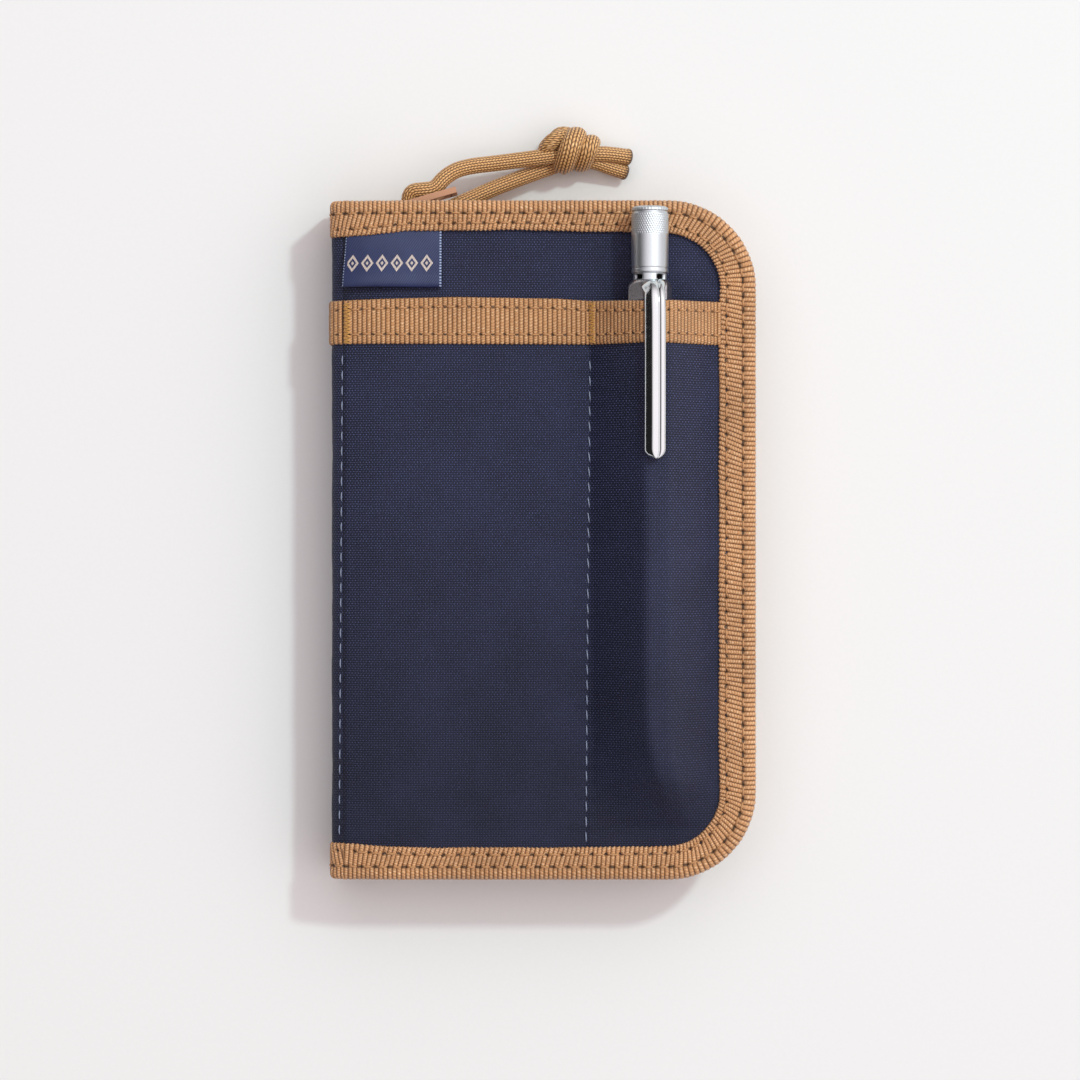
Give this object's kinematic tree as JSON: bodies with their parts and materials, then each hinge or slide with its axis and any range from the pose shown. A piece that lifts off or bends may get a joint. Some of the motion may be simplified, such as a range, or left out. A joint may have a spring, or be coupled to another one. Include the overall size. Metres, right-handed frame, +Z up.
{
  "type": "travel document organizer",
  "caption": "Zip-round canvas travel document organizer with bound edges, slip pocket, woven label, pen in a pen sleeve and a knotted cord zipper pull.",
  "frame": {"origin": "centre of the back cover's outer face, which lies on the ground", "axes": "+X from the spine to the fore edge, +Y from foot to head, +Z up through the front cover"},
  "size_m": [0.1064, 0.1873, 0.037],
  "materials": {
    "canvas": "matte plain-weave canvas",
    "webbing": "ribbed grosgrain tape",
    "board": "sheet board, hidden",
    "lining": "matte woven lining",
    "zip_tape": "woven zipper tape",
    "zip_teeth": "moulded coil",
    "slider_metal": "matte painted casting",
    "tab_metal": "matte painted stamping",
    "cord": "braided cord",
    "label": "satin woven tape",
    "pen_chrome": "polished and knurled plating",
    "pen_body": "satin",
    "refill": "satin"
  },
  "bodies": {
    "back": {"back_outer_panel": "canvas", "back_stiffener": "board", "back_liner": "lining", "back_edge_binding": "webbing", "back_zipper_tape": "zip_tape", "back_zipper_teeth": "zip_teeth", "document_pocket": "lining", "document_pocket_edge": "webbing", "passport_pocket": "lining", "passport_pocket_edge": "webbing"},
    "spine": {"spine_outer_panel": "canvas", "spine_liner": "lining", "spine_head_binding": "webbing", "spine_foot_binding": "webbing"},
    "front": {"front_outer_panel": "canvas", "front_stiffener": "board", "front_liner": "lining", "front_edge_binding": "webbing", "front_zipper_tape": "zip_tape", "front_zipper_teeth": "zip_teeth", "front_pocket_panel": "canvas", "pocket_band": "webbing", "woven_label": "label", "card_pocket_upper": "lining", "card_pocket_upper_edge": "webbing", "card_pocket_middle": "lining", "card_pocket_middle_edge": "webbing", "card_pocket_lower": "lining", "card_pocket_lower_edge": "webbing", "ticket_pocket": "lining", "ticket_pocket_edge": "webbing"},
    "slider": {"slider_body": "slider_metal", "slider_bridge": "slider_metal"},
    "pull": {"pull_tab": "tab_metal", "pull_cord": "cord", "pull_knot": "cord"},
    "pen": {"pen_barrel": "pen_body", "pen_grip": "pen_body", "pen_nose": "pen_body", "pen_collar": "pen_chrome", "pen_clip": "pen_chrome"},
    "pen_knob": {"pen_knob": "pen_chrome"},
    "pen_refill": {"pen_refill": "refill"}
  },
  "joints": [
    {"name": "back_fold", "type": "hinge", "parent": "back", "child": "spine", "pos_m": [-0.05325, 0, 0], "axis": [0, -1, 0], "range_deg": [0, 90]},
    {"name": "front_fold", "type": "hinge", "parent": "spine", "child": "front", "pos_m": [-0.05325, 0, 0.022], "axis": [0, -1, 0], "range_deg": [0, 80]},
    {"name": "zipper_travel", "type": "slide", "parent": "back", "child": "slider", "axis": [1, 0, 0], "range_m": [0, 0.066]},
    {"name": "tab_swing", "type": "hinge", "parent": "slider", "child": "pull", "pos_m": [-0.0415, 0.0827, 0.011], "axis": [0, 0, 1], "range_deg": [0, 125]},
    {"name": "pen_slide", "type": "slide", "parent": "front", "child": "pen", "axis": [0, 1, 0], "range_m": [0, 0.125]},
    {"name": "knob_twist", "type": "hinge", "parent": "pen", "child": "pen_knob", "pos_m": [0.027, 0.075, 0.0278], "axis": [0, 1, 0], "range_deg": [0, 180]},
    {"name": "refill_travel", "type": "slide", "parent": "pen", "child": "pen_refill", "axis": [0, -1, 0], "range_m": [0, 0.004]}
  ],
  "couplings": [
    {"joint": "refill_travel", "follows": "knob_twist", "m_per_rad": 0.00127}
  ]
}
